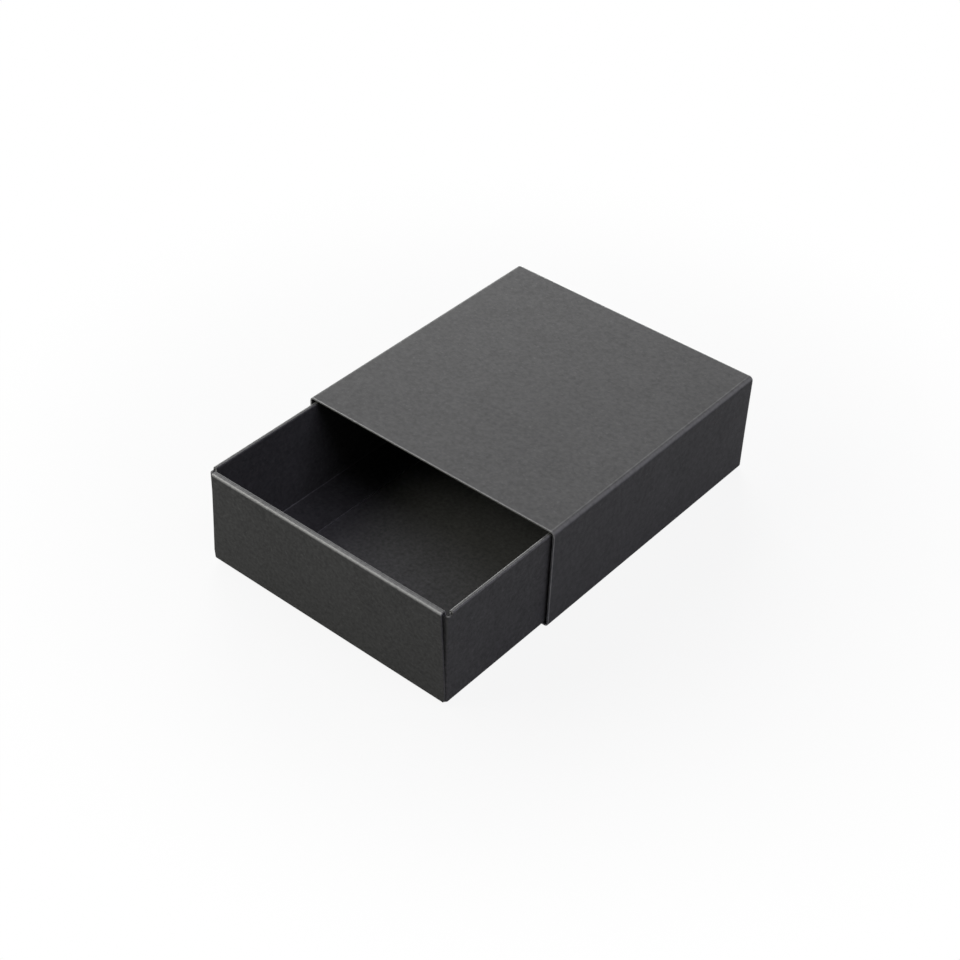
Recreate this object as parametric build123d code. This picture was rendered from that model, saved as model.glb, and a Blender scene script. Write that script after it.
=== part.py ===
from build123d import *
import os

# Folded paperboard gift box: a sleeve, open at both ends, and a tray that slides in it like a drawer.
# Each of the two is one creased sheet. Every panel between two creases is a solid of its own, and
# neighbouring panels of a sheet meet face to face at their crease.
# Millimetres. X runs across the box, Y from the mouth to the back, Z up.
# The origin is the middle of the sleeve's underside.

# Board, shared by both sheets
board = 0.5

# Sleeve
sleeve_width = 85.0
sleeve_depth = 90.0
sleeve_height = 32.5
sleeve_fold_inside_radius = 0.7
glue_flap_height = 14.0
glue_flap_taper = 3.5
seam_gap = 0.2

# Tray against sleeve
pulled_out = 40.0
end_inset = 0.25
running_gap = 0.3
floor_gap = 0.2
headroom = 0.9

# Tray
tray_fold_inside_radius = 0.25
side_roll_inside_radius = 0.05
front_roll_inside_radius = 0.35
side_layer_gap = 0.15
front_layer_gap = 0.05
front_lean = 0.4
front_edge_gap = 0.1
front_edge_taper = 0.4
wall_end_gap = 0.5
corner_drop = 1.0
corner_tab_length = 22.0
corner_tab_taper = 3.0
floor_flange_width = 13.0
floor_flange_taper = 4.0
flange_fold_inside_radius = 0.3

# Sleeve, worked out
sleeve_half_width = sleeve_width / 2
mouth_y = -sleeve_depth / 2
sleeve_fold = board + sleeve_fold_inside_radius

# Tray, worked out. The glue flap takes one board's thickness beside the tray.
tray_fold = board + tray_fold_inside_radius
side_roll = board + side_roll_inside_radius
front_roll = board + front_roll_inside_radius
tray_half_width = sleeve_half_width - 2 * board - running_gap
tray_bottom = board + floor_gap
tray_top = sleeve_height - board - headroom
base_top = tray_bottom + board
rim_y = mouth_y - pulled_out
tray_length = sleeve_depth - 2 * end_inset
tray_middle_y = rim_y + tray_length / 2
foot_y = rim_y + front_lean

# The side walls hold an outer and an inner panel, the front and back walls a corner tab as well.
side_wall = 2 * board + side_layer_gap
front_wall = front_lean + 3 * board + 2 * front_layer_gap

# Corner posts: the upright folds from the side walls to the corner tabs, inside the front panel.
tab_y = foot_y + board + front_layer_gap
corner_x = tray_half_width - tray_fold
corner_y = tab_y + tray_fold
corner_top = tray_top - corner_drop
back_corner_y = 2 * tray_middle_y - corner_y

# The rolled side walls start just inside the inner front panel.
side_start_y = max(corner_y, rim_y + front_wall + wall_end_gap)
side_end_y = 2 * tray_middle_y - side_start_y
side_length = side_end_y - side_start_y


def fold_line(corners, radii):
    """The outside line of a folded sheet, corner to corner, as straight and rounded edges in turn."""
    return FilletPolyline(*corners, radius=radii).edges()


def board_section(edges, inside):
    """The board's section along some edges of a fold line, its thickness on the inside."""
    return make_face(offset(Wire(edges), amount=board, side=inside, closed=True).edges())


def run_along_y(section, y_start, y_end):
    """Extrude a section drawn in X and Z from one depth to another."""
    return extrude(Plane.XZ.offset(-y_start) * section, amount=y_start - y_end)


def run_along_x(section, x_start, x_end):
    """Extrude a section drawn in Y and Z from one side to another."""
    return extrude(Plane.YZ.offset(x_start) * section, amount=x_end - x_start)


def run_through(outline):
    """Extrude an outline drawn in X and Z through the whole depth of the tray."""
    return extrude(Plane.XZ.offset(-rim_y) * outline, amount=-tray_length)


def to_left(panel):
    return mirror(panel, about=Plane.YZ)


def to_back(panel):
    return mirror(panel, about=Plane.XZ.offset(-tray_middle_y))


def sleeve_panels():
    """Left side, top, right side and bottom of the sleeve, then the flap glued inside the left side."""
    flap_x = board - sleeve_half_width
    line = fold_line(
        [
            (-sleeve_half_width, seam_gap),
            (-sleeve_half_width, sleeve_height),
            (sleeve_half_width, sleeve_height),
            (sleeve_half_width, 0),
            (flap_x, 0),
            (flap_x, glue_flap_height),
        ],
        [sleeve_fold] * 4,
    )
    panels = {
        "sleeve_left_side_panel": line[0:1],
        "sleeve_top_panel": line[1:4],
        "sleeve_right_side_panel": line[4:5],
        "sleeve_bottom_panel": line[5:8],
    }
    solids = {}
    for name, edges in panels.items():
        section = board_section(edges, Side.RIGHT)
        solids[name] = run_along_y(section, mouth_y, -mouth_y)
    flap_outline = Polygon(
        (mouth_y, sleeve_fold),
        (-mouth_y, sleeve_fold),
        (-mouth_y - glue_flap_taper, glue_flap_height),
        (mouth_y + glue_flap_taper, glue_flap_height),
        align=None,
    )
    solids["sleeve_glue_flap"] = run_along_x(flap_outline, flap_x, flap_x + board)
    return solids


def side_wall_line(top):
    """Fold line of the right wall: base, outer wall, rolled edge, inner wall and floor flange."""
    inner_x = tray_half_width - side_wall
    flange_top = base_top + board
    return fold_line(
        [
            (0, tray_bottom),
            (tray_half_width, tray_bottom),
            (tray_half_width, top),
            (inner_x, top),
            (inner_x, flange_top),
            (inner_x - floor_flange_width, flange_top),
        ],
        [tray_fold, side_roll, side_roll, flange_fold_inside_radius],
    )


def side_outer_wall():
    """Right outer wall with its fold from the base, and a rounded corner post at each end."""
    wall_line = [
        (0, tray_bottom),
        (tray_half_width, tray_bottom),
        (tray_half_width, corner_top),
    ]
    section = board_section(fold_line(wall_line, tray_fold)[1:], Side.LEFT)
    wall = run_along_y(section, corner_y, back_corner_y)
    post_axis = Axis((corner_x, corner_y, 0), (0, 0, -1))
    post = revolve(Plane.XZ.offset(-corner_y) * section, post_axis, 90)
    rise = tray_top - side_roll - corner_top
    strip_x = tray_half_width - board / 2
    strip_place = Pos(strip_x, tray_middle_y, corner_top)
    strip = strip_place * Box(board, side_length, rise, align=(Align.CENTER, Align.CENTER, Align.MIN))
    return wall + post + to_back(post) + strip


def corner_tab():
    """Front right corner tab: a flat tongue behind the front panel, its free end tapered."""
    free_x = corner_x - corner_tab_length
    foot_z = tray_bottom + tray_fold
    outline = Polygon(
        (corner_x, foot_z),
        (corner_x, corner_top),
        (free_x, corner_top - corner_tab_taper),
        (free_x, foot_z + corner_tab_taper),
        align=None,
    )
    return extrude(Plane.XZ.offset(-tab_y) * outline, amount=-board)


def floor_flange(section):
    """Right floor flange: the inner wall's free edge, turned in on the base, with tapered ends."""
    flange = run_along_y(section, side_start_y, side_end_y)
    crease_x = tray_half_width - side_wall - flange_fold_inside_radius
    free_x = tray_half_width - side_wall - floor_flange_width
    outline = Polygon(
        (crease_x, side_start_y),
        (crease_x, side_end_y),
        (free_x, side_end_y - floor_flange_taper),
        (free_x, side_start_y + floor_flange_taper),
        align=None,
    )
    return flange & extrude(Plane.XY.offset(base_top) * outline, amount=board)


def front_wall_panel(edges):
    """A panel of the front wall. The outer wall is cut narrower upwards to fold up past the posts."""
    section = board_section(edges, Side.RIGHT)
    top_half_width = corner_x - front_edge_gap - front_edge_taper
    outline = Polygon(
        (-corner_x + front_edge_gap, tray_bottom),
        (corner_x - front_edge_gap, tray_bottom),
        (top_half_width, tray_top - front_roll),
        (top_half_width, tray_top),
        (-top_half_width, tray_top),
        (-top_half_width, tray_top - front_roll),
        align=None,
    )
    return run_along_x(section, -corner_x, corner_x) & run_through(outline)


def front_wall_line():
    """Fold line of the front wall: base, outer wall leaning out, rolled edge and inner wall."""
    inner_y = rim_y + front_wall
    return fold_line(
        [
            (tray_middle_y, tray_bottom),
            (foot_y, tray_bottom),
            (rim_y, tray_top),
            (inner_y, tray_top),
            (inner_y, base_top),
        ],
        [tray_fold, front_roll, front_roll],
    )


def tray_panels():
    """Base, the side walls with their corner tabs and floor flanges, and the front and back walls."""
    side = side_wall_line(tray_top)
    front = front_wall_line()

    base_crease_y = (front[0] @ 1).X
    base_length = 2 * (tray_middle_y - base_crease_y)
    base_place = Pos(0, tray_middle_y, tray_bottom)
    base = Box(2 * corner_x, base_length, board, align=(Align.CENTER, Align.CENTER, Align.MIN))
    solids = {"tray_base": base_place * base}

    rolled_section = board_section(side[3:6], Side.LEFT)
    inner_section = board_section(side[6:8], Side.LEFT)
    right = {
        "outer_wall": side_outer_wall(),
        "rolled_edge": run_along_y(rolled_section, side_start_y, side_end_y),
        "inner_wall": run_along_y(inner_section, side_start_y, side_end_y),
        "floor_flange": floor_flange(board_section(side[8:9], Side.LEFT)),
    }
    for name, panel in right.items():
        solids["tray_right_" + name] = panel
        solids["tray_left_" + name] = to_left(panel)

    tab = corner_tab()
    solids["tray_front_right_corner_tab"] = tab
    solids["tray_front_left_corner_tab"] = to_left(tab)
    solids["tray_back_right_corner_tab"] = to_back(tab)
    solids["tray_back_left_corner_tab"] = to_left(to_back(tab))

    for name, edges in {
        "outer_wall": front[1:3],
        "rolled_edge": front[3:6],
        "inner_wall": front[6:7],
    }.items():
        panel = front_wall_panel(edges)
        solids["tray_front_" + name] = panel
        solids["tray_back_" + name] = to_back(panel)
    return solids


os.makedirs("parts", exist_ok=True)
for node, solid in {**sleeve_panels(), **tray_panels()}.items():
    export_step(solid, f"parts/{node}.step")
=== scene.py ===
import bpy
import bmesh
import math
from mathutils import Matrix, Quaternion, Vector


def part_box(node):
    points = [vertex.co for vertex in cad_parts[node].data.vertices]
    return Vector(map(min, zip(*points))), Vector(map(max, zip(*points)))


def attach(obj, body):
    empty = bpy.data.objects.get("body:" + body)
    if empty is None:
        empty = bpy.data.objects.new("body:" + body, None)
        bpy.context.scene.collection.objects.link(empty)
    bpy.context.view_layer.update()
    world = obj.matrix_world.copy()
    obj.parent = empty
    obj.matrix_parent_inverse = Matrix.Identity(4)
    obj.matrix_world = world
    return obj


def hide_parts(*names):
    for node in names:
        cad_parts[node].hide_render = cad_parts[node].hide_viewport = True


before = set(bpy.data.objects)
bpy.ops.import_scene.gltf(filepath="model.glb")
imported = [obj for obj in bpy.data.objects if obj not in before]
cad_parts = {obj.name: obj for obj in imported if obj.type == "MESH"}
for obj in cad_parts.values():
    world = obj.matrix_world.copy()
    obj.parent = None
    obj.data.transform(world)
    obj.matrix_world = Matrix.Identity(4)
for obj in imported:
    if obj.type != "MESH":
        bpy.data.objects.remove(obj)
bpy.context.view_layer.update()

# ---------------------------------------------------------------------------------------------------
# The sleeve's top and bottom panels. Black paperboard, dyed through and uncoated, creased into a flat
# tube. Each of the two carries the rounded folds at its sides, and ends in a plain knife cut at both
# mouths. Every other panel of the box is made from its own fold line in the same way.
# ---------------------------------------------------------------------------------------------------
MM = 0.001


def extent(node, axis):
    """The size of a solid along one axis."""
    low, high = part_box(node)
    return high[axis] - low[axis]


board = extent("sleeve_right_side_panel", 0)
bend_steps = 10
end_support = 0.05 * MM
crease_rule = 0.35 * MM
rim_support = 0.3 * MM
inner_rim_support = 0.45 * MM


def flat(start, end, steps, bows=False, worn=(0.0, 0.0), crease_at_end=0.0):
    """A flat stretch of a fold line as (place, way to the hidden side, wear and painted highlight,
    slack), with support points close to its ends. The creasing rule can leave a worn line at its end."""
    start, end = Vector(start), Vector(end)
    length = (end - start).length
    support, rule = end_support / length, crease_rule / length
    places = {0.0, support, 1.0 - support, *(k / steps for k in range(1, steps))}
    if crease_at_end:
        places.add(1.0 - rule)
    points = []
    for t in sorted(places):
        line = crease_at_end if t > 1.0 - rule / 2 else 0.0
        rubbed_and_highlight = max(worn[0] * (1 - t) + worn[1] * t, line)
        points.append((start.lerp(end, t), None, rubbed_and_highlight, math.sin(math.pi * t) if bows else 0.0))
    return points


def bend(centre, radius, from_deg, to_deg, worn=1.0, worn_start=0.0, wear_and_highlight_end=0.0, squareness=2.0):
    """A fold of the board round its centre, made pale most halfway round it: wear, and on the tray's
    rolled edges partly a painted highlight and sheen. A squareness of 2 is a round fold. Above that the
    board is pressed to a flatter top and tighter shoulders."""
    centre = Vector(centre)
    points = []
    for k in range(bend_steps):
        t = k / bend_steps
        angle = math.radians(from_deg + (to_deg - from_deg) * t)
        round_way = Vector((math.cos(angle), math.sin(angle)))
        size = sum(abs(c) ** squareness for c in round_way) ** (1.0 / squareness)
        place = centre + round_way * radius / size
        through = (round_way * (radius - board) - round_way * radius / size) / board
        rubbed_and_highlight = max(worn * math.sin(math.pi * t), worn_start * (1 - t) ** 3, wear_and_highlight_end * t**3)
        points.append((place, through, rubbed_and_highlight, 0.0))
    return points


def write_attributes(mesh, vectors, numbers):
    """Stores named vectors and plain numbers on the points of a mesh."""
    for label, values in vectors.items():
        mesh.attributes.new(label, "FLOAT_VECTOR", "POINT")
        mesh.attributes[label].data.foreach_set("vector", [c for v in values for c in v])
    for label, values in numbers.items():
        mesh.attributes.new(label, "FLOAT", "POINT")
        mesh.attributes[label].data.foreach_set("value", values)


def narrowing(steps, share):
    """How much narrower each end of a panel is at a share of its fold line."""
    for (before, low), (after, high) in zip(steps, steps[1:]):
        if share <= after:
            return low + (high - low) * (share - before) / (after - before)
    return steps[-1][1]


def fold_line(name, stretches, end, hidden_side, narrowed=((0.0, 0.0), (1.0, 0.0))):
    """A panel's section as a chain of points that know the way to the board's hidden side, how pale it
    is from wear and painted highlight, how slack the board is there, and how far the panel's outline has
    narrowed. The narrowing is given as shares of the line's length and how much narrower each end is
    there."""
    points = [point for stretch in stretches for point in stretch] + [(Vector(end), None, 0.0, 0.0)]
    places = [point[0] for point in points]
    last = len(points) - 1
    reach = [0.0]
    for k in range(last):
        reach.append(reach[-1] + (places[k + 1] - places[k]).length)
    hidden = []
    for k in range(last + 1):
        along = (places[min(k + 1, last)] - places[max(k - 1, 0)]).normalized()
        across = Vector((-along.y, along.x)) * hidden_side
        through = points[k][1]
        if through and through.dot(across) < 0:
            through = -through
        through = through or across
        hidden.append((through.x, 0.0, through.y))
    mesh = bpy.data.meshes.new(name + "_section")
    mesh.from_pydata([(p.x, 0.0, p.y) for p in places], [(k, k + 1) for k in range(last)], [])
    numbers = {
        "section_worn": [point[2] for point in points],
        "slack": [point[3] for point in points],
        "narrowed": [narrowing(narrowed, r / reach[-1]) for r in reach],
    }
    write_attributes(mesh, {"hidden_side": hidden}, numbers)
    return mesh


def crease_path(name, points, outward, worn=None, lowered=None, ends=None):
    """The path that a section runs along, seen from above, with the way out of the box at each point.
    Ends says how far each point follows a narrowing, from 1 at the start to -1 at the end."""
    last = len(points) - 1
    mesh = bpy.data.meshes.new(name + "_path")
    mesh.from_pydata([(x, y, 0.0) for x, y in points], [(k, k + 1) for k in range(last)], [])
    along = []
    for k in range(last + 1):
        step = Vector(points[min(k + 1, last)]) - Vector(points[max(k - 1, 0)])
        along.append(step.normalized().to_3d())
    nothing = [0.0] * (last + 1)
    numbers = {
        "path_worn": worn or nothing,
        "lowered": lowered or nothing,
        "end": ends or nothing,
    }
    write_attributes(mesh, {"outward": [Vector(v).to_3d() for v in outward], "along": along}, numbers)
    return mesh


def straight_path(name, start, end, outward, step=2.5 * MM, rim_wear_and_highlight=0.0):
    """A straight crease, with support points close to each end for the softened cut, and the rims there
    made pale if wanted: wear, and partly a painted highlight along the edge."""
    start, end = Vector(start), Vector(end)
    length = (end - start).length
    steps = max(2, round(length / step))
    rim, inner_rim = rim_support / length, inner_rim_support / length
    near = [0.0, rim, inner_rim]
    places = [*near, *(k / steps for k in range(1, steps)), *(1.0 - t for t in reversed(near))]
    worn = [rim_wear_and_highlight if min(t, 1.0 - t) < (rim + inner_rim) / 2 else 0.0 for t in places]
    ends = [1.0 - 2.0 * t for t in places]
    points = [start.lerp(end, t) for t in places]
    return crease_path(name, points, [outward] * len(places), worn, ends=ends)


def node_maker(tree):
    """Two helpers for a node tree. The first makes a node with its settings, and each input either
    linked or set. The second makes one sum."""

    def node(kind, *inputs, **settings):
        made = tree.nodes.new(kind)
        for key, value in settings.items():
            setattr(made, key, value)
        for socket, value in inputs:
            if hasattr(value, "is_output"):
                tree.links.new(value, made.inputs[socket])
            else:
                made.inputs[socket].default_value = value
        return made

    def arithmetic(operation, *values):
        return node("ShaderNodeMath", *enumerate(values), operation=operation).outputs[0]

    return node, arithmetic


weld_distance = 0.002 * MM
sharp_angle = math.radians(35)


def folded_board_tree():
    """Sweeps a section along a path, bows it, and gives it the board's thickness."""
    tree = bpy.data.node_groups.new("folded_board", "GeometryNodeTree")
    tree.is_modifier = True
    sockets = tree.interface
    sockets.new_socket("Section", in_out="INPUT", socket_type="NodeSocketGeometry")
    sockets.new_socket("Path", in_out="INPUT", socket_type="NodeSocketObject")
    for label in ("Board thickness", "Section top", "Bow", "Bow length"):
        sockets.new_socket(label, in_out="INPUT", socket_type="NodeSocketFloat")
    sockets.new_socket("Seed", in_out="INPUT", socket_type="NodeSocketInt")
    for label in ("First fold is cut", "Last fold is cut", "Path start is cut", "Path end is cut"):
        sockets.new_socket(label, in_out="INPUT", socket_type="NodeSocketBool")
    sockets.new_socket("Material", in_out="INPUT", socket_type="NodeSocketMaterial")
    sockets.new_socket("Board", in_out="OUTPUT", socket_type="NodeSocketGeometry")

    node, arithmetic = node_maker(tree)

    def whole(operation, a, b):
        return node("FunctionNodeIntegerMath", (0, a), (1, b), operation=operation).outputs[0]

    def added(a, b):
        return node("ShaderNodeVectorMath", (0, a), (1, b), operation="ADD").outputs[0]

    def scaled(a, scale):
        return node("ShaderNodeVectorMath", (0, a), ("Scale", scale), operation="SCALE").outputs[0]

    def kept(label, kind="FLOAT"):
        return node("GeometryNodeInputNamedAttribute", ("Name", label), data_type=kind).outputs[0]

    def point_count(geometry):
        size = node("GeometryNodeAttributeDomainSize", ("Geometry", geometry), component="MESH")
        return size.outputs["Point Count"]

    def sampled(geometry, label, kind, at):
        """Reads an attribute, or the position, of one point of the section or of the path."""
        here = node("GeometryNodeInputPosition").outputs[0] if label == "position" else kept(label, kind)
        return node(
            "GeometryNodeSampleIndex",
            ("Geometry", geometry),
            ("Value", here),
            ("Index", at),
            data_type=kind,
            domain="POINT",
        ).outputs[0]

    def stored(geometry, label, kind, domain, value):
        return node(
            "GeometryNodeStoreNamedAttribute",
            ("Geometry", geometry),
            ("Name", label),
            ("Value", value),
            data_type=kind,
            domain=domain,
        ).outputs["Geometry"]

    def lifted(height):
        return node("ShaderNodeCombineXYZ", ("Z", height)).outputs[0]

    def split(value):
        return node("ShaderNodeSeparateXYZ", (0, value)).outputs

    given = node("NodeGroupInput").outputs
    section = given["Section"]
    path = node("GeometryNodeObjectInfo", ("Object", given["Path"])).outputs["Geometry"]
    folds, stations = point_count(section), point_count(path)
    grid = node("GeometryNodeMeshGrid", ("Vertices X", folds), ("Vertices Y", stations))
    index = node("GeometryNodeInputIndex").outputs[0]
    fold = whole("DIVIDE_FLOOR", index, stations)
    station = whole("MODULO", index, stations)

    # Each grid point goes to its fold of the section, carried out from its station of the path.
    place = split(sampled(section, "position", "FLOAT_VECTOR", fold))
    outward = sampled(path, "outward", "FLOAT_VECTOR", station)
    top = arithmetic("SUBTRACT", given["Section top"], sampled(path, "lowered", "FLOAT", station))
    taper = arithmetic(
        "MULTIPLY",
        sampled(section, "narrowed", "FLOAT", fold),
        sampled(path, "end", "FLOAT", station),
    )
    position = added(sampled(path, "position", "FLOAT_VECTOR", station), scaled(outward, place["X"]))
    position = added(position, lifted(arithmetic("MINIMUM", place["Z"], top)))
    position = added(position, scaled(sampled(path, "along", "FLOAT_VECTOR", station), taper))
    side = split(sampled(section, "hidden_side", "FLOAT_VECTOR", fold))
    hidden = added(scaled(outward, side["X"]), lifted(side["Z"]))
    worn = arithmetic(
        "MAXIMUM",
        sampled(section, "section_worn", "FLOAT", fold),
        sampled(path, "path_worn", "FLOAT", station),
    )
    sheet = stored(grid.outputs["Mesh"], "hidden", "FLOAT_VECTOR", "POINT", hidden)
    sheet = stored(sheet, "worn", "FLOAT", "POINT", worn)
    sheet = stored(sheet, "slack", "FLOAT", "POINT", sampled(section, "slack", "FLOAT", fold))

    def same(a, b):
        return node("FunctionNodeCompare", (2, a), (3, b), data_type="INT", operation="EQUAL").outputs[0]

    rims = {
        "First fold is cut": same(fold, 0),
        "Last fold is cut": same(fold, whole("SUBTRACT", folds, 1)),
        "Path start is cut": same(station, 0),
        "Path end is cut": same(station, whole("SUBTRACT", stations, 1)),
    }
    for label, mask in rims.items():
        sheet = stored(sheet, label, "BOOLEAN", "POINT", mask)
    shaped = node("GeometryNodeSetPosition", ("Geometry", sheet), ("Position", position)).outputs[0]

    # The board bows towards its hidden side only, in long soft waves that die out at the creases.
    wave = node(
        "ShaderNodeTexNoise",
        ("Vector", node("GeometryNodeInputPosition").outputs[0]),
        ("W", given["Seed"]),
        ("Scale", arithmetic("DIVIDE", 1.0, given["Bow length"])),
        ("Detail", 1.0),
        noise_dimensions="4D",
    )
    depth = arithmetic("MULTIPLY", arithmetic("MULTIPLY", wave.outputs[0], given["Bow"]), kept("slack"))
    bow = scaled(kept("hidden", "FLOAT_VECTOR"), depth)
    face = node("GeometryNodeSetPosition", ("Geometry", shaped), ("Offset", bow)).outputs[0]

    # The back of the board lies one thickness towards the hidden side, joined on by its edges.
    back = node("GeometryNodeExtrudeMesh", ("Mesh", face), ("Offset Scale", 0.0), mode="FACES")
    back.inputs["Individual"].default_value = False
    thickness = scaled(kept("hidden", "FLOAT_VECTOR"), given["Board thickness"])
    moved = node(
        "GeometryNodeSetPosition",
        ("Geometry", back.outputs["Mesh"]),
        ("Selection", back.outputs["Top"]),
        ("Offset", thickness),
    )
    joined = node("GeometryNodeJoinGeometry", (0, moved.outputs[0]), (0, face)).outputs[0]
    weld = node("GeometryNodeMergeByDistance", ("Geometry", joined), ("Distance", weld_distance))

    # Only the rims that a knife has cut are softened. At a crease the next panel goes on.
    def logic(operation, a, b):
        return node("FunctionNodeBooleanMath", (0, a), (1, b), operation=operation).outputs[0]

    cut_rim = None
    for label in rims:
        here = logic("AND", kept(label, "BOOLEAN"), given[label])
        cut_rim = here if cut_rim is None else logic("OR", cut_rim, here)
    angle = node("GeometryNodeInputMeshEdgeAngle").outputs["Unsigned Angle"]
    sharp = node(
        "FunctionNodeCompare",
        (0, angle),
        (1, sharp_angle),
        data_type="FLOAT",
        operation="GREATER_THAN",
    )
    weight = logic("AND", cut_rim, sharp.outputs[0])
    weighted = stored(weld.outputs[0], "bevel_weight_edge", "FLOAT", "EDGE", weight)
    real = node("GeometryNodeRealizeInstances", ("Geometry", weighted))
    finished = node(
        "GeometryNodeSetMaterial", ("Geometry", real.outputs[0]), ("Material", given["Material"])
    )
    node("NodeGroupOutput", (0, finished.outputs[0]))
    return tree


folded_board = folded_board_tree()


def scene_object(name, data):
    """An object with its data, linked to the scene."""
    made = bpy.data.objects.new(name, data)
    bpy.context.scene.collection.objects.link(made)
    return made


def plain_mesh(name, source):
    """The evaluated shape of an object as a plain mesh of its own. The source is removed."""
    shape = source.evaluated_get(bpy.context.evaluated_depsgraph_get())
    mesh = bpy.data.meshes.new_from_object(shape)
    mesh.name = name
    bpy.data.objects.remove(source)
    return mesh


cut_contrast = 6.0


def mark_cut_and_reverse(mesh, frayed):
    """Marks each face by how far it looks out of the sheet's edge, and whether it is on its back."""
    hidden = [Vector(item.vector) for item in mesh.attributes["hidden"].data]
    cut, reverse = [], []
    for face in mesh.polygons:
        through = sum((hidden[k] for k in face.vertices), Vector()).normalized()
        facing = face.normal.dot(through)
        cut.append(frayed * min(1.0, cut_contrast * (1.0 - abs(facing))))
        reverse.append(1.0 if facing > 0.5 else 0.0)
    for label, marks in {"cut_edge": cut, "reverse_side": reverse}.items():
        mesh.attributes.new(label, "FLOAT", "FACE")
        mesh.attributes[label].data.foreach_set("value", marks)


cut_softness = 0.18 * MM
bow_length = 45 * MM


def board_panel(name, section, path, material, bow=0.0, seed=0, cuts=(), top=1.0, frayed=1.0):
    """One panel as a closed solid: its section swept along its path, with its cut rims softened."""
    sweep = scene_object(name + "_sweep", section)
    route = scene_object(name + "_route", path)
    modifier = sweep.modifiers.new("board", "NODES")
    modifier.node_group = folded_board
    values = {
        "Path": route,
        "Board thickness": board,
        "Section top": top,
        "Bow": bow,
        "Bow length": bow_length,
        "Seed": seed,
        "First fold is cut": "first" in cuts,
        "Last fold is cut": "last" in cuts,
        "Path start is cut": "start" in cuts,
        "Path end is cut": "end" in cuts,
        "Material": material,
    }
    for item in folded_board.interface.items_tree:
        if item.in_out == "INPUT" and item.name in values:
            modifier[item.identifier] = values[item.name]
    swept = scene_object(name + "_swept", plain_mesh(name, sweep))
    bpy.data.objects.remove(route)
    solid = bmesh.new()
    solid.from_mesh(swept.data)
    bmesh.ops.recalc_face_normals(solid, faces=solid.faces)
    for face in solid.faces:
        face.smooth = True
    for edge in solid.edges:
        edge.smooth = edge.calc_face_angle(0.0) < sharp_angle
    solid.to_mesh(swept.data)
    solid.free()
    softened = swept.modifiers.new("knife_cut", "BEVEL")
    softened.limit_method = "WEIGHT"
    softened.width = cut_softness
    softened.segments = 3
    mesh = plain_mesh(name, swept)
    mark_cut_and_reverse(mesh, frayed)
    rims = [label for label in values if label.endswith("is cut")]
    for label in ("hidden", "slack", "bevel_weight_edge", *rims):
        if label in mesh.attributes:
            mesh.attributes.remove(mesh.attributes[label])
    return scene_object(name, mesh)


def stands_for(piece, node, body):
    """Puts a piece on its body in place of its solid, which is hidden."""
    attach(piece, body)
    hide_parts(node)


def ranged(node, value, low, high):
    """0 up to the low value, 1 from the high value on, and a straight rise between them."""
    return node("ShaderNodeMapRange", ("Value", value), ("From Min", low), ("From Max", high)).outputs[0]


fibre_turns = (
    (0, 0, 0.3),
    (0, 0, 1.4),
    (0, 0, 2.5),
    (0.9, 0.5, 0),
    (0.4, 1.2, 0.8),
    (1.5, 0.2, 1.9),
)
fibre_slimness = 9
fibre_band = (0.67, 0.8)
speck_band = (0.74, 0.8)
mottle_band = (0.34, 0.66)
cloud_share = 0.2
strand_relief = 0.2


def paper_formation_group():
    """Clouds, mottle, specks and fibres of a sheet of board, from its place on the object."""
    tree = bpy.data.node_groups.new("paper_formation", "ShaderNodeTree")
    sockets = tree.interface
    sockets.new_socket("Place", in_out="INPUT", socket_type="NodeSocketVector")
    for label in ("Cloud size", "Mottle size", "Fibre length", "Speck size"):
        sockets.new_socket(label, in_out="INPUT", socket_type="NodeSocketFloat")
    for label in ("Mottle", "Fibres", "Specks", "Relief"):
        sockets.new_socket(label, in_out="OUTPUT", socket_type="NodeSocketFloat")
    node, arithmetic = node_maker(tree)
    given = node("NodeGroupInput").outputs

    def grain(place, size, detail, roughness):
        scale = arithmetic("DIVIDE", 1.0, size)
        return node(
            "ShaderNodeTexNoise",
            ("Vector", place),
            ("Scale", scale),
            ("Detail", detail),
            ("Roughness", roughness),
        ).outputs[0]

    clouds = grain(given["Place"], given["Cloud size"], detail=2.0, roughness=0.5)
    mottle = grain(given["Place"], given["Mottle size"], detail=4.0, roughness=0.62)
    cloudy = arithmetic("MULTIPLY", clouds, cloud_share)
    mixed = arithmetic("MULTIPLY_ADD", mottle, 1.0 - cloud_share, cloudy)

    # Fibres lie every way in the sheet. Each turn draws its own, the tilted ones for the upright walls.
    strands = None
    for turn in fibre_turns:
        laid = node(
            "ShaderNodeMapping",
            ("Vector", given["Place"]),
            ("Rotation", turn),
            ("Scale", (1, fibre_slimness, fibre_slimness)),
        ).outputs[0]
        threads = grain(laid, given["Fibre length"], detail=1.0, roughness=0.4)
        strand = ranged(node, threads, *fibre_band)
        strands = strand if strands is None else arithmetic("MAXIMUM", strands, strand)
    dots = grain(given["Place"], given["Speck size"], detail=0.0, roughness=0.0)
    raised = arithmetic("MULTIPLY", strands, strand_relief)
    relief = arithmetic("MULTIPLY_ADD", mottle, 1.0 - strand_relief, raised)
    node(
        "NodeGroupOutput",
        ("Mottle", ranged(node, mixed, *mottle_band)),
        ("Fibres", strands),
        ("Specks", ranged(node, dots, *speck_band)),
        ("Relief", relief),
    )
    return tree


mottle_break, mottle_floor = 0.5, 0.65
fibre_break, fibre_floor = 0.5, 0.6
hard_rubbed_band = (0.45, 0.85)
pressed_rim = 0.6


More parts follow.
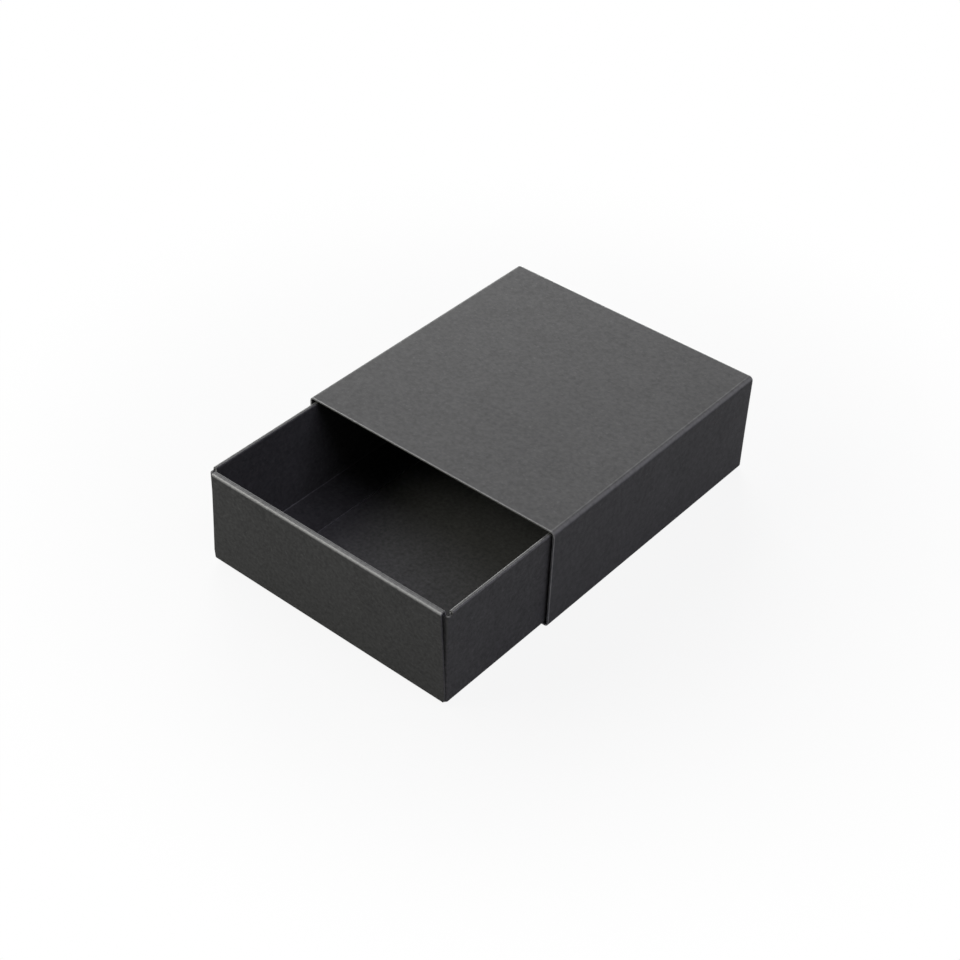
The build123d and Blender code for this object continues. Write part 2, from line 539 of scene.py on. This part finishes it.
def wear_and_highlight_board_group():
    """Where board is pale from rubbing at a fold or frayed by the knife, broken up by its mottle and its
    fibres. The pale rubbing is partly a painted highlight and sheen on rolled edges and mouth rims. Only
    the hardest rubbed places, and the rims that the knife has pressed, are burnished as well."""
    tree = bpy.data.node_groups.new("wear_and_highlight_board", "ShaderNodeTree")
    for label in ("Worn", "Cut edge", "Mottle", "Fibres"):
        tree.interface.new_socket(label, in_out="INPUT", socket_type="NodeSocketFloat")
    for label in ("Rubbed", "Frayed", "Burnish"):
        tree.interface.new_socket(label, in_out="OUTPUT", socket_type="NodeSocketFloat")
    node, arithmetic = node_maker(tree)
    given = node("NodeGroupInput").outputs
    patchy = arithmetic("MULTIPLY_ADD", given["Mottle"], mottle_break, mottle_floor)
    rubbed_and_highlight = arithmetic("MINIMUM", arithmetic("MULTIPLY", given["Worn"], patchy), 1.0)
    stringy = arithmetic("MULTIPLY_ADD", given["Fibres"], fibre_break, fibre_floor)
    frayed = arithmetic("MULTIPLY", given["Cut edge"], arithmetic("MULTIPLY", stringy, patchy))
    hard_rubbed = ranged(node, given["Worn"], *hard_rubbed_band)
    pressed_flat = arithmetic("MULTIPLY", given["Cut edge"], pressed_rim)
    node(
        "NodeGroupOutput",
        ("Rubbed", rubbed_and_highlight),
        ("Frayed", arithmetic("MINIMUM", frayed, 1.0)),
        ("Burnish", arithmetic("MAXIMUM", hard_rubbed, pressed_flat)),
    )
    return tree


paper_formation = paper_formation_group()
wear_and_highlight_board = wear_and_highlight_board_group()

fibre_strength = 0.3
speck_strength = 0.25
plain_roughness = 0.66
mottle_smoothing = 0.04
burnish_smoothing = 0.14
tooth_strength = 0.35
specular_level = 0.06


def board_material(
    name,
    face_colour,
    reverse_colour,
    fibre_colour,
    wear_and_highlight_colour,
    cut_colour,
    mottle_depth,
    mottle_size,
    tooth,
):
    """Uncoated board dyed through: its face and back, its fibres, its wear, which is partly a painted
    highlight, and its knife cuts.
    """
    material = bpy.data.materials.new(name)
    material.use_nodes = True
    tree = material.node_tree
    tree.nodes.clear()
    node, arithmetic = node_maker(tree)

    def mixed(factor, a, b):
        return node("ShaderNodeMix", (0, factor), (6, a), (7, b), data_type="RGBA").outputs[2]

    def mark(label):
        return node("ShaderNodeAttribute", attribute_name=label).outputs["Fac"]

    formation = node(
        "ShaderNodeGroup",
        ("Place", node("ShaderNodeTexCoord").outputs["Object"]),
        ("Cloud size", 9 * MM),
        ("Mottle size", mottle_size),
        ("Fibre length", 1.6 * MM),
        ("Speck size", 0.9 * MM),
        node_tree=paper_formation,
    ).outputs
    wear = node(
        "ShaderNodeGroup",
        ("Worn", mark("worn")),
        ("Cut edge", mark("cut_edge")),
        ("Mottle", formation["Mottle"]),
        ("Fibres", formation["Fibres"]),
        node_tree=wear_and_highlight_board,
    ).outputs

    plain = mixed(mark("reverse_side"), (*face_colour, 1), (*reverse_colour, 1))
    shade = arithmetic("MULTIPLY_ADD", formation["Mottle"], 2 * mottle_depth, 1 - mottle_depth)
    colour = node("ShaderNodeVectorMath", (0, plain), ("Scale", shade), operation="SCALE").outputs[0]
    # The pale rubbed colour paints wear, and on rolled edges and mouth rims part of their highlight.
    for factor, over in (
        (arithmetic("MULTIPLY", formation["Fibres"], fibre_strength), fibre_colour),
        (arithmetic("MULTIPLY", formation["Specks"], speck_strength), fibre_colour),
        (wear["Rubbed"], wear_and_highlight_colour),
        (wear["Frayed"], cut_colour),
    ):
        colour = mixed(factor, colour, (*over, 1))
    rough = arithmetic("MULTIPLY_ADD", formation["Mottle"], -mottle_smoothing, plain_roughness)
    rough = arithmetic("MULTIPLY_ADD", wear["Burnish"], -burnish_smoothing, rough)
    relief = node(
        "ShaderNodeBump",
        ("Strength", tooth_strength),
        ("Distance", tooth),
        ("Height", formation["Relief"]),
    )
    surface = node(
        "ShaderNodeBsdfPrincipled",
        ("Base Color", colour),
        ("Roughness", rough),
        ("Normal", relief.outputs[0]),
        ("IOR", 1.45),
        ("Specular IOR Level", specular_level),
        ("Coat Weight", wear["Burnish"]),
        ("Coat Roughness", 0.34),
        ("Coat IOR", 1.5),
    )
    node("ShaderNodeOutputMaterial", ("Surface", surface.outputs[0]))
    return material


# The sleeve's pale rubbed colour is wear at its folds, and partly a painted highlight along the mouths.
sleeve_board = board_material(
    "black_sleeve_board",
    face_colour=(0.062, 0.062, 0.0615),
    reverse_colour=(0.072, 0.072, 0.071),
    fibre_colour=(0.13, 0.13, 0.128),
    wear_and_highlight_colour=(0.17, 0.17, 0.168),
    cut_colour=(0.22, 0.22, 0.218),
    mottle_depth=0.17,
    mottle_size=1.4 * MM,
    tooth=0.02 * MM,
)

panel_bow = 0.09 * MM
sleeve_low = Vector(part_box("sleeve_bottom_panel")[0])
sleeve_high = Vector(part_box("sleeve_top_panel")[1])
sleeve_half = sleeve_high.x
sleeve_top = sleeve_high.z
sleeve_fold = extent("sleeve_top_panel", 2)
fold_x = sleeve_half - sleeve_fold
fold_z = sleeve_top - sleeve_fold
flap_low, flap_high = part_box("sleeve_glue_flap")


# The rims at both mouths are made pale: partly wear, and partly a painted highlight along the mouth's
# edge.
def sleeve_path(name, outward):
    return straight_path(name, (0, sleeve_low.y), (0, sleeve_high.y), outward, rim_wear_and_highlight=0.6)


top_panel = board_panel(
    "sleeve_top_panel",
    fold_line(
        "sleeve_top_panel",
        [
            bend((-fold_x, fold_z), sleeve_fold, 180, 90, worn=0.2),
            flat((-fold_x, sleeve_top), (fold_x, sleeve_top), steps=24, bows=True, crease_at_end=0.45),
            bend((fold_x, fold_z), sleeve_fold, 90, 0, worn=0.8, worn_start=0.45),
        ],
        end=(sleeve_half, fold_z),
        hidden_side=-1,
    ),
    sleeve_path("sleeve_top_panel", (1, 0)),
    sleeve_board,
    bow=panel_bow,
    seed=3,
    cuts=("start", "end"),
)
stands_for(top_panel, "sleeve_top_panel", "sleeve")

flap_fold_x = flap_low.x + sleeve_fold
bottom_panel = board_panel(
    "sleeve_bottom_panel",
    fold_line(
        "sleeve_bottom_panel",
        [
            bend((fold_x, sleeve_fold), sleeve_fold, 0, -90, worn=0.5),
            flat((fold_x, 0), (flap_fold_x, 0), steps=24),
            bend((flap_fold_x, sleeve_fold), sleeve_fold, -90, -180, worn=0.5),
        ],
        end=(flap_low.x, sleeve_fold),
        hidden_side=-1,
    ),
    sleeve_path("sleeve_bottom_panel", (1, 0)),
    sleeve_board,
    cuts=("start", "end"),
)
stands_for(bottom_panel, "sleeve_bottom_panel", "sleeve")

# ---------------------------------------------------------------------------------------------------
# The sleeve's side panels, flat between the folds. The right one runs from fold to fold. The left one
# comes down outside the glue flap and ends in a cut edge just above the bottom fold: that is the seam.
# ---------------------------------------------------------------------------------------------------
for side_name, outward_x, bow, seed in (("right", 1, panel_bow, 5), ("left", -1, 0.0, 8)):
    name = f"sleeve_{side_name}_side_panel"
    low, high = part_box(name)
    side_panel = board_panel(
        name,
        fold_line(
            name,
            [flat((sleeve_half, high.z), (sleeve_half, low.z), steps=14, bows=True)],
            end=(sleeve_half, low.z),
            hidden_side=-1,
        ),
        sleeve_path(name, (outward_x, 0)),
        sleeve_board,
        bow=bow,
        seed=seed,
        cuts=("start", "end") if side_name == "right" else ("start", "end", "last"),
    )
    stands_for(side_panel, name, "sleeve")

# ---------------------------------------------------------------------------------------------------
# The glue flap: the sheet's last strip, folded up from the bottom panel and glued inside the left side
# panel. Its ends are cut back at a slant, so that nothing sticks out at the mouths.
# ---------------------------------------------------------------------------------------------------
flap_taper = 3.5 * MM
glue_flap = board_panel(
    "sleeve_glue_flap",
    fold_line(
        "sleeve_glue_flap",
        [flat((flap_low.x, flap_low.z), (flap_low.x, flap_high.z), steps=6)],
        end=(flap_low.x, flap_high.z),
        hidden_side=-1,
        narrowed=((0.0, 0.0), (1.0, flap_taper)),
    ),
    sleeve_path("sleeve_glue_flap", (1, 0)),
    sleeve_board,
    cuts=("start", "end", "last"),
)
stands_for(glue_flap, "sleeve_glue_flap", "sleeve")

# ---------------------------------------------------------------------------------------------------
# The tray's base: the middle of the second sheet, flat between its four creases. Its upper side, the
# floor of the tray, is the back of the board, which is a little paler than the face.
# ---------------------------------------------------------------------------------------------------
tray_board = board_material(
    "black_tray_board",
    face_colour=(0.060, 0.060, 0.0595),
    reverse_colour=(0.079, 0.079, 0.078),
    fibre_colour=(0.13, 0.13, 0.128),
    # Pale rubbed colour: wear, and partly a painted highlight and sheen on the rolled edges.
    wear_and_highlight_colour=(0.30, 0.30, 0.297),
    cut_colour=(0.20, 0.20, 0.198),
    mottle_depth=0.25,
    mottle_size=1.1 * MM,
    tooth=0.03 * MM,
)

base_low, base_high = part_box("tray_base")
tray_base = board_panel(
    "tray_base",
    fold_line(
        "tray_base",
        [flat((base_low.x, base_low.z), (base_high.x, base_low.z), steps=24)],
        end=(base_high.x, base_low.z),
        hidden_side=1,
    ),
    straight_path("tray_base", (0, base_low.y), (0, base_high.y), (1, 0)),
    tray_board,
)
stands_for(tray_base, "tray_base", "tray")

# ---------------------------------------------------------------------------------------------------
# The tray's outer side walls, folded up from the base. At each end the wall turns the corner as a
# rounded post, closed at its foot where the folds meet, and cut a little lower than the rolled edge.
# ---------------------------------------------------------------------------------------------------
wall_low, wall_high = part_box("tray_right_outer_wall")
edge_low, edge_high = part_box("tray_right_rolled_edge")
tray_half = wall_high.x
tray_foot = wall_low.z
tray_fold = extent("tray_right_outer_wall", 0)
corner_x = tray_half - tray_fold
corner_front, corner_back = wall_low.y + tray_fold, wall_high.y - tray_fold
corner_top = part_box("tray_front_right_corner_tab")[1].z
roll_start = edge_low.z
post_drop = roll_start - corner_top
step_width = 0.1 * MM
post_steps = 10
post_wear = 0.1
wall_steps = 34
wall_bow = 0.1 * MM
wall_fray = 0.1
foot_wear = 0.15


def post_path(name, side):
    """From the front tab's crease round the front post, along the wall and round the back post. The
    board steps up from the posts to the rolled edge."""
    points, outward, worn, lowered = [], [], [], []

    def station(y, facing, wear=0.0, low=post_drop):
        points.append((side * corner_x, y))
        outward.append(facing)
        worn.append(wear)
        lowered.append(low)

    def post(y, start):
        for k in range(post_steps + 1):
            angle = start + math.pi / 2 * k / post_steps
            wear = post_wear * math.sin(math.pi * k / post_steps)
            station(y, (side * math.cos(angle), math.sin(angle)), wear)

    post(corner_front, -math.pi / 2)
    station(edge_low.y - step_width, (side, 0))
    for k in range(wall_steps + 1):
        station(edge_low.y + (edge_high.y - edge_low.y) * k / wall_steps, (side, 0), low=0.0)
    station(edge_high.y + step_width, (side, 0))
    post(corner_back, 0.0)
    return crease_path(name, points, outward, worn, lowered)


for side_name, side, seed in (("right", 1, 11), ("left", -1, 17)):
    name = f"tray_{side_name}_outer_wall"
    outer_wall = board_panel(
        name,
        fold_line(
            name,
            [
                bend((0, tray_foot + tray_fold), tray_fold, -90, 0, worn=foot_wear),
                flat((tray_fold, tray_foot + tray_fold), (tray_fold, corner_top), steps=12, bows=True),
                flat((tray_fold, corner_top), (tray_fold, roll_start), steps=2),
            ],
            end=(tray_fold, roll_start),
            hidden_side=1,
        ),
        post_path(name, side),
        tray_board,
        bow=wall_bow,
        seed=seed,
        top=roll_start,
        frayed=wall_fray,
    )
    stands_for(outer_wall, name, "tray")

# ---------------------------------------------------------------------------------------------------
# The rolled edges of the side walls: the board turns over twice, tight on itself, and shows as a narrow
# rounded strip along the top of each wall. It starts just inside the front and back walls.
# ---------------------------------------------------------------------------------------------------
side_roll = extent("tray_right_rolled_edge", 2)
roll_squareness = 3.5
rim = edge_high.z
inner_x = edge_low.x
outer_roll_centre = (tray_half - side_roll, roll_start)
inner_roll_centre = (inner_x + side_roll, roll_start)


def side_path(name, side):
    return straight_path(name, (0, edge_low.y), (0, edge_high.y), (side, 0))


# Both folds of each strip are made pale: partly wear, and partly painted sheen along the strip.
for side_name, side in (("right", 1), ("left", -1)):
    name = f"tray_{side_name}_rolled_edge"
    rolled_edge = board_panel(
        name,
        fold_line(
            name,
            [
                bend(outer_roll_centre, side_roll, 0, 90, worn=0.4, squareness=roll_squareness),
                bend(inner_roll_centre, side_roll, 90, 180, worn=0.25, squareness=roll_squareness),
            ],
            end=(inner_x, roll_start),
            hidden_side=1,
        ),
        side_path(name, side),
        tray_board,
        cuts=("start", "end"),
    )
    stands_for(rolled_edge, name, "tray")

# ---------------------------------------------------------------------------------------------------
# The inner side walls and their floor flanges. The board comes down from the rolled edge and turns in
# on the base as a flange, which holds it upright. The flange's free edge shows on the tray's floor.
# ---------------------------------------------------------------------------------------------------
flange_top = base_high.z + board
flange_low, flange_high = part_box("tray_right_floor_flange")
flange_crease, flange_free = flange_high.x, flange_low.x
flange_fold = inner_x - flange_crease
flange_taper = 4 * MM

for side_name, side, seed in (("right", 1, 12), ("left", -1, 18)):
    name = f"tray_{side_name}_inner_wall"
    inner_wall = board_panel(
        name,
        fold_line(
            name,
            [
                flat((inner_x, roll_start), (inner_x, flange_top + flange_fold), steps=12, bows=True),
                bend((flange_crease, flange_top + flange_fold), flange_fold, 0, -90, worn=0.3),
            ],
            end=(flange_crease, flange_top),
            hidden_side=1,
        ),
        side_path(name, side),
        tray_board,
        bow=wall_bow,
        seed=seed,
        cuts=("start", "end"),
    )
    stands_for(inner_wall, name, "tray")

    name = f"tray_{side_name}_floor_flange"
    floor_flange = board_panel(
        name,
        fold_line(
            name,
            [flat((flange_crease, flange_top), (flange_free, flange_top), steps=8)],
            end=(flange_free, flange_top),
            hidden_side=1,
            narrowed=((0.0, 0.0), (1.0, flange_taper)),
        ),
        side_path(name, side),
        tray_board,
        cuts=("start", "end", "last"),
    )
    stands_for(floor_flange, name, "tray")

# ---------------------------------------------------------------------------------------------------
# The corner tabs: flat tongues that run on from the posts, hidden inside the front and back walls. The
# solids already have their shape, so they stay and take the tray's board.
# ---------------------------------------------------------------------------------------------------
for wall_name in ("front", "back"):
    for side_name in ("right", "left"):
        corner_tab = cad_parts[f"tray_{wall_name}_{side_name}_corner_tab"]
        for material_slot in corner_tab.material_slots:
            material_slot.material = tray_board

# ---------------------------------------------------------------------------------------------------
# The tray's outer front and back walls, folded up from the base and leaning out, because the board
# springs back. They are cut narrower upwards, so a thin dark wedge opens between them and the posts.
# ---------------------------------------------------------------------------------------------------
def along_fold(centre, radius, degrees):
    """A place on a round fold, by its angle from level."""
    angle = math.radians(degrees)
    return (centre[0] + radius * math.cos(angle), centre[1] + radius * math.sin(angle))


def end_wall_path(name, half_width, facing):
    return straight_path(name, (-half_width, 0), (half_width, 0), (0, facing), step=2 * MM)


gap_at_top = 0.5 * MM
# How much narrower each end is, at shares of the fold line: rounded at the foot, then full.
foot_outline = ((0.0, 0.3 * MM), (0.03, -0.248 * MM), (0.08, -0.62 * MM))
end_walls = {}
for wall_name, facing, seed in (("front", -1, 23), ("back", 1, 29)):
    wall_low, wall_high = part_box(f"tray_{wall_name}_outer_wall")
    top_low, top_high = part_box(f"tray_{wall_name}_rolled_edge")
    inner_low, inner_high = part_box(f"tray_{wall_name}_inner_wall")
    end_roll = rim - inner_high.z
    rim_out = facing * (top_low.y if facing < 0 else top_high.y)
    inner_out = facing * (inner_high.y if facing < 0 else inner_low.y)
    crease_out = facing * (base_low.y if facing < 0 else base_high.y)
    top_half_width = top_high.x - gap_at_top
    foot_centre = (crease_out, tray_foot + tray_fold)
    roll_centre = (rim_out - end_roll, rim - end_roll)
    run = roll_centre[0] + end_roll - foot_centre[0] - tray_fold
    lean = math.degrees(math.atan2(run, roll_centre[1] - foot_centre[1]))
    end_walls[wall_name] = {
        "facing": facing,
        "lean": lean,
        "roll": end_roll,
        "roll_centre": roll_centre,
        "inner_out": inner_out,
        "inner_foot": inner_low.z,
        "top_half_width": top_half_width,
    }

    name = f"tray_{wall_name}_outer_wall"
    wall_start = along_fold(foot_centre, tray_fold, -lean)
    wall_end = along_fold(roll_centre, end_roll, -lean)
    outer_wall = board_panel(
        name,
        fold_line(
            name,
            [
                bend(foot_centre, tray_fold, -90, -lean, worn=foot_wear),
                flat(wall_start, wall_end, steps=12, bows=True),
            ],
            end=wall_end,
            hidden_side=1,
            narrowed=(*foot_outline, (1.0, wall_high.x - top_half_width)),
        ),
        end_wall_path(name, wall_high.x, facing),
        tray_board,
        bow=wall_bow,
        seed=seed,
        cuts=("start", "end"),
        frayed=wall_fray,
    )
    stands_for(outer_wall, name, "tray")

# ---------------------------------------------------------------------------------------------------
# The rolled edges of the front and back walls. They go over three thicknesses of board, so they are
# rounder than those at the sides. Along the front of the roll they are pale: partly wear, partly a
# painted highlight.
# ---------------------------------------------------------------------------------------------------
roll_top_wear_and_highlight = 0.4
inner_wear = 0.05
for wall_name, wall in end_walls.items():
    name = f"tray_{wall_name}_rolled_edge"
    roll_centre = wall["roll_centre"]
    inner_centre = (wall["inner_out"] + wall["roll"], rim - wall["roll"])
    top_start = (roll_centre[0], rim)
    top_end = (inner_centre[0], rim)
    rolled_edge = board_panel(
        name,
        fold_line(
            name,
            [
                bend(roll_centre, wall["roll"], -wall["lean"], 90, worn=0.9, wear_and_highlight_end=roll_top_wear_and_highlight),
                flat(top_start, top_end, steps=2, worn=(roll_top_wear_and_highlight, inner_wear)),
                bend(inner_centre, wall["roll"], 90, 180, worn=0.0, worn_start=inner_wear),
            ],
            end=(wall["inner_out"], inner_centre[1]),
            hidden_side=1,
        ),
        end_wall_path(name, wall["top_half_width"], wall["facing"]),
        tray_board,
        cuts=("start", "end"),
    )
    stands_for(rolled_edge, name, "tray")

# ---------------------------------------------------------------------------------------------------
# The inner front and back walls: the last panels of the sheet. They come down inside the corner tabs,
# stand on the base with a cut edge, and are held there by glue.
# ---------------------------------------------------------------------------------------------------
inner_bow = 0.04 * MM
for (wall_name, wall), seed in zip(end_walls.items(), (24, 30)):
    name = f"tray_{wall_name}_inner_wall"
    inner_top = (wall["inner_out"], rim - wall["roll"])
    inner_foot = (wall["inner_out"], wall["inner_foot"])
    inner_wall = board_panel(
        name,
        fold_line(
            name,
            [flat(inner_top, inner_foot, steps=12, bows=True)],
            end=inner_foot,
            hidden_side=1,
        ),
        end_wall_path(name, wall["top_half_width"], wall["facing"]),
        tray_board,
        bow=inner_bow,
        seed=seed,
        cuts=("start", "end", "last"),
    )
    stands_for(inner_wall, name, "tray")

# ---------------------------------------------------------------------------------------------------
# The floor: a plain white studio sheet. It takes the box's soft shadow close by and goes over to plain
# white further out, as in a product picture on white.
# ---------------------------------------------------------------------------------------------------
def plainly_seen(node, arithmetic):
    """1 where the camera looks straight at something, or sees it in gloss or through glass."""
    ray = node("ShaderNodeLightPath").outputs
    seen = arithmetic("MAXIMUM", ray["Is Glossy Ray"], ray["Is Transmission Ray"])
    return arithmetic("MAXIMUM", ray["Is Camera Ray"], seen)


floor_half = 3.0
floor_drop = 0.05 * MM
shadow_share = 0.1
shadow_reach = 0.08
plain_from = 0.18
floor_mesh = bpy.data.meshes.new("floor")
corners = ((-1, -1), (1, -1), (1, 1), (-1, 1))
floor_corners = [(x * floor_half, y * floor_half, -floor_drop) for x, y in corners]
floor_mesh.from_pydata(floor_corners, [], [(0, 1, 2, 3)])
floor = scene_object("floor", floor_mesh)
floor_white = bpy.data.materials.new("floor_white")
floor_white.use_nodes = True
floor_white.node_tree.nodes.clear()
node, arithmetic = node_maker(floor_white.node_tree)
floor_place = node("ShaderNodeTexCoord").outputs["Object"]
away = node("ShaderNodeVectorMath", (0, floor_place), operation="LENGTH")
fade = node(
    "ShaderNodeMapRange",
    ("Value", away.outputs["Value"]),
    ("From Min", shadow_reach),
    ("From Max", plain_from),
    ("To Min", 1.0 - shadow_share),
    interpolation_type="SMOOTHSTEP",
)
sheet_paper = node("ShaderNodeBsdfDiffuse", ("Color", (0.55, 0.55, 0.55, 1)))
plain_white = node("ShaderNodeEmission", ("Strength", 1.0))
floor_surface = node(
    "ShaderNodeMixShader",
    (0, arithmetic("MULTIPLY", plainly_seen(node, arithmetic), fade.outputs[0])),
    (1, sheet_paper.outputs[0]),
    (2, plain_white.outputs[0]),
)
node("ShaderNodeOutputMaterial", ("Surface", floor_surface.outputs[0]))
floor_mesh.materials.append(floor_white)

# ---------------------------------------------------------------------------------------------------
# The light: a broad soft box low behind the box on the left, whose sheen brightens the upward faces, a
# weak one above the left side, a small warm one in front on the left, which picks out the rolled edge,
# and a cool one above the right side.
# ---------------------------------------------------------------------------------------------------
world = bpy.data.worlds.new("studio")
bpy.context.scene.world = world
world.use_nodes = True
world.node_tree.nodes.clear()
node, arithmetic = node_maker(world.node_tree)
room_fill = 0.02
room_strength = arithmetic("MULTIPLY_ADD", plainly_seen(node, arithmetic), 1.0 - room_fill, room_fill)
room = node("ShaderNodeBackground", ("Color", (1, 1, 1, 1)), ("Strength", room_strength))
node("ShaderNodeOutputWorld", ("Surface", room.outputs[0]))


def towards(azimuth, elevation):
    """The way from the object to a place round it. Azimuth 0 is in front, 90 on its right."""
    a, e = math.radians(azimuth), math.radians(elevation)
    return Vector((math.sin(a) * math.cos(e), -math.cos(a) * math.cos(e), math.sin(e)))


def soft_box(name, azimuth, elevation, distance, size, level, colour=(1, 1, 1)):
    """A square lamp whose level is the light it puts on a white card that faces it."""
    lamp = bpy.data.lights.new(name, "AREA")
    lamp.shape = "SQUARE"
    lamp.size = size
    lamp.energy = level * (math.pi * distance) ** 2
    lamp.color = colour
    holder = scene_object(name, lamp)
    holder.location = towards(azimuth, elevation) * distance
    holder.rotation_euler = towards(azimuth, elevation).to_track_quat("Z", "Y").to_euler()
    holder.visible_camera = False


warm = (1.0, 1.0, 0.9)
cool = (0.98, 0.95, 1.18)
soft_box("back_left_soft_box", 225, 17, distance=2.2, size=1.24, level=1.68)
soft_box("left_soft_box", 270, 42, distance=1.8, size=1.2, level=0.37)
soft_box("front_left_soft_box", 315, 36, distance=1.6, size=0.8, level=0.41, colour=warm)
soft_box("right_soft_box", 90, 52, distance=1.8, size=1.2, level=0.3, colour=cool)

# ---------------------------------------------------------------------------------------------------
# The camera: a short telephoto about half a metre away, above the tray's right corner and rolled a
# little, as in the photograph.
# ---------------------------------------------------------------------------------------------------
camera_data = bpy.data.cameras.new("camera")
camera_data.lens = 70.0
camera_data.sensor_width = 36.0
camera_data.clip_start = 0.01
camera = scene_object("camera", camera_data)
camera_aim = Vector((2.41, -25.54, 16.0)) * MM
camera_way = towards(38.53, 39.33)
camera_distance = 509.8 * MM
camera_roll = math.radians(2.36)
camera.location = camera_aim + camera_way * camera_distance
camera.rotation_mode = "QUATERNION"
camera.rotation_quaternion = Quaternion(camera_way, camera_roll) @ camera_way.to_track_quat("Z", "Y")
bpy.context.scene.camera = camera
bpy.context.scene.view_settings.view_transform = "Standard"
